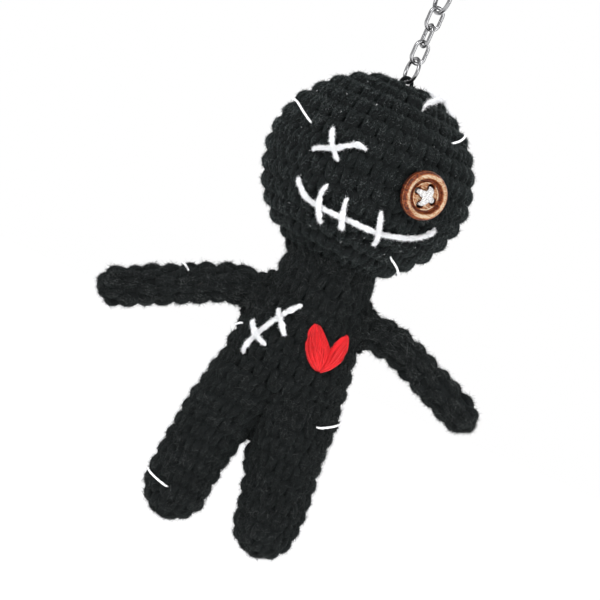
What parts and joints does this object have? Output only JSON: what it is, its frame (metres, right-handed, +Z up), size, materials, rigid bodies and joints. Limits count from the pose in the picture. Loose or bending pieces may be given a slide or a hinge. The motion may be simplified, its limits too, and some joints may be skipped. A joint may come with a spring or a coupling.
{
  "type": "crocheted doll key chain",
  "caption": "Stuffed crocheted doll with a button eye, yarn mouth, scars and stitched heart, hanging by a short link chain from a split key ring.",
  "frame": {"origin": "inside top of the split key ring, where the key chain hangs from a hook, a finger or a key", "axes": "+Z up along the hanging doll, -Y the way its face looks, +X to the viewer's right"},
  "size_m": [0.1035, 0.0511, 0.1749],
  "materials": {
    "black_yarn": "fuzzy plied acrylic yarn, worked in single crochet, almost black with a faint green cast on lit edges",
    "white_yarn": "soft white yarn with a short nap",
    "white_thread": "smooth white sewing thread",
    "red_thread": "stranded cotton with a silky sheen, laid as satin stitch",
    "fibre_fill": "loose polyester fibre",
    "button_wood": "turned wood, pale worn rim, stained brown grooves, satin varnish",
    "nickel_steel": "bright nickel-plated steel wire"
  },
  "bodies": {
    "key_ring": {"key_ring": "nickel_steel"},
    "top_ring": {"top_ring": "nickel_steel"},
    "chain_link_3": {"chain_link_3": "nickel_steel"},
    "chain_link_2": {"chain_link_2": "nickel_steel"},
    "chain_link_1": {"chain_link_1": "nickel_steel"},
    "crown_ring": {"crown_ring": "nickel_steel"},
    "head": {"head_cover": "black_yarn", "head_stuffing": "fibre_fill", "crown_loop": "black_yarn", "eye_stitch_long": "white_yarn", "eye_stitch_short": "white_yarn", "mouth_yarn": "white_yarn", "mouth_stitch_1": "white_yarn", "mouth_stitch_2": "white_yarn", "mouth_stitch_3": "white_yarn", "head_scar_yarn": "white_yarn", "head_scar_stitch": "white_yarn", "edge_stitch_head_left": "white_thread", "edge_stitch_head_right": "white_thread", "edge_stitch_chin": "white_thread"},
    "button": {"button_eye": "button_wood", "button_thread": "white_thread"},
    "torso": {"torso_cover": "black_yarn", "torso_stuffing": "fibre_fill", "neck_seam": "black_yarn", "left_shoulder_seam": "black_yarn", "right_shoulder_seam": "black_yarn", "chest_scar_yarn": "white_yarn", "chest_scar_stitch_1": "white_yarn", "chest_scar_stitch_2": "white_yarn", "heart_left_lobe": "red_thread", "heart_right_lobe": "red_thread", "edge_stitch_side": "white_thread", "edge_stitch_thigh": "white_thread"},
    "left_arm": {"left_arm_cover": "black_yarn", "left_arm_stuffing": "fibre_fill", "edge_stitch_arm": "white_thread"},
    "right_arm": {"right_arm_cover": "black_yarn", "right_arm_stuffing": "fibre_fill"},
    "left_leg": {"left_leg_cover": "black_yarn", "left_leg_stuffing": "fibre_fill", "edge_stitch_foot": "white_thread"},
    "right_leg": {"right_leg_cover": "black_yarn", "right_leg_stuffing": "fibre_fill"}
  },
  "joints": [
    {"name": "top_ring_swing", "type": "hinge", "parent": "key_ring", "child": "top_ring", "pos_m": [0, 0, -0.02155], "axis": [0.9063, 0.4226, 0], "range_deg": [-25, 25]},
    {"name": "link_3_swing", "type": "hinge", "parent": "top_ring", "child": "chain_link_3", "pos_m": [0, 0, -0.02725], "axis": [-0.4226, 0.9063, 0], "range_deg": [-25, 25]},
    {"name": "link_2_swing", "type": "hinge", "parent": "chain_link_3", "child": "chain_link_2", "pos_m": [0, 0, -0.0319], "axis": [0.9063, 0.4226, 0], "range_deg": [-25, 25]},
    {"name": "link_1_swing", "type": "hinge", "parent": "chain_link_2", "child": "chain_link_1", "pos_m": [0, 0, -0.0366], "axis": [-0.4226, 0.9063, 0], "range_deg": [-25, 25]},
    {"name": "crown_ring_swing", "type": "hinge", "parent": "chain_link_1", "child": "crown_ring", "pos_m": [0, 0, -0.0413], "axis": [0.9063, 0.4226, 0], "range_deg": [-25, 25]},
    {"name": "head_swing", "type": "hinge", "parent": "crown_ring", "child": "head", "pos_m": [0, 0, -0.0466], "axis": [-0.4226, 0.9063, 0], "range_deg": [-25, 25]},
    {"name": "button_turn", "type": "hinge", "parent": "head", "child": "button", "pos_m": [0.0149, -0.02121, -0.07139], "axis": [0.5056, -0.8628, 0], "range_deg": [-20, 20], "stiffness_Nm_per_rad": 0.0002},
    {"name": "neck_turn", "type": "hinge", "parent": "head", "child": "torso", "pos_m": [0.0006, 0, -0.0971], "axis": [0, 0, 1], "range_deg": [-30, 30], "stiffness_Nm_per_rad": 0.004},
    {"name": "left_shoulder", "type": "hinge", "parent": "torso", "child": "left_arm", "pos_m": [-0.018, 0, -0.1107], "axis": [0, 1, 0], "range_deg": [-25, 50], "stiffness_Nm_per_rad": 0.006},
    {"name": "right_shoulder", "type": "hinge", "parent": "torso", "child": "right_arm", "pos_m": [0.01875, 0, -0.1087], "axis": [0, -1, 0], "range_deg": [-25, 50], "stiffness_Nm_per_rad": 0.006},
    {"name": "left_hip", "type": "hinge", "parent": "torso", "child": "left_leg", "pos_m": [-0.0106, 0, -0.1454], "axis": [-1, 0, 0], "range_deg": [-20, 45], "stiffness_Nm_per_rad": 0.004},
    {"name": "right_hip", "type": "hinge", "parent": "torso", "child": "right_leg", "pos_m": [0.0097, 0, -0.1454], "axis": [-1, 0, 0], "range_deg": [-20, 45], "stiffness_Nm_per_rad": 0.004}
  ]
}
